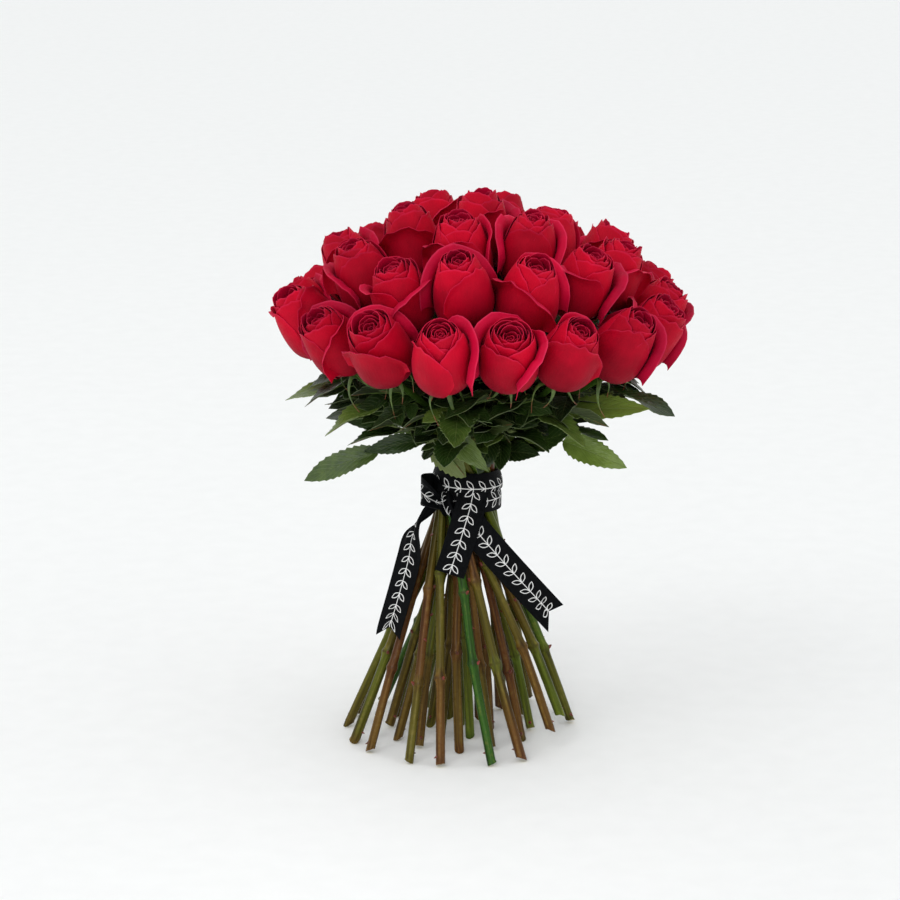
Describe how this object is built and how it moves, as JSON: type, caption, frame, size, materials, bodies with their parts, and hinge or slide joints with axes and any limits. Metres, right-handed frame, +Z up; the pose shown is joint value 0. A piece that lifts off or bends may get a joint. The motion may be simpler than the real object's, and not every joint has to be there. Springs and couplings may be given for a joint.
{
  "type": "bunch of roses",
  "caption": "Hand-tied spiral bunch of red roses with a printed black ribbon round its neck, standing on its own cut stems.",
  "frame": {"origin": "the middle stem's cut end, on the surface that the bunch stands on", "axes": "+Z up along the middle stem towards the blooms; -Y is the front, where the ribbon's ends hang; +X to the right seen from the front"},
  "size_m": [0.338, 0.3479, 0.4568],
  "materials": {
    "petals": null,
    "greenery": null,
    "ribbon": "black satin ribbon with a white printed vine",
    "twine": "natural cord"
  },
  "bodies": {
    "root": {"bloom_middle_01": "petals", "bloom_inner_01": "petals", "bloom_inner_02": "petals", "bloom_inner_03": "petals", "bloom_inner_04": "petals", "bloom_inner_05": "petals", "bloom_inner_06": "petals", "bloom_second_01": "petals", "bloom_second_02": "petals", "bloom_second_03": "petals", "bloom_second_04": "petals", "bloom_second_05": "petals", "bloom_second_06": "petals", "bloom_second_07": "petals", "bloom_second_08": "petals", "bloom_second_09": "petals", "bloom_second_10": "petals", "bloom_second_11": "petals", "bloom_second_12": "petals", "bloom_outer_01": "petals", "bloom_outer_02": "petals", "bloom_outer_03": "petals", "bloom_outer_04": "petals", "bloom_outer_05": "petals", "bloom_outer_06": "petals", "bloom_outer_07": "petals", "bloom_outer_08": "petals", "bloom_outer_09": "petals", "bloom_outer_10": "petals", "bloom_outer_11": "petals", "bloom_outer_12": "petals", "bloom_outer_13": "petals", "bloom_outer_14": "petals", "bloom_outer_15": "petals", "bloom_outer_16": "petals", "bloom_outer_17": "petals", "stems_middle": "greenery", "stems_second_01": "greenery", "stems_second_02": "greenery", "stems_second_03": "greenery", "stems_second_04": "greenery", "stems_second_05": "greenery", "stems_second_06": "greenery", "stems_outer_01": "greenery", "stems_outer_02": "greenery", "stems_outer_03": "greenery", "stems_outer_04": "greenery", "stems_outer_05": "greenery", "stems_outer_06": "greenery", "stems_outer_07": "greenery", "stems_outer_08": "greenery", "stems_outer_09": "greenery", "ribbon_wrap": "ribbon", "ribbon_bow": "ribbon", "ribbon_tail_centre": "ribbon", "ribbon_tail_right": "ribbon", "ribbon_tail_left": "ribbon", "binding_twine": "twine"}
  },
  "joints": []
}
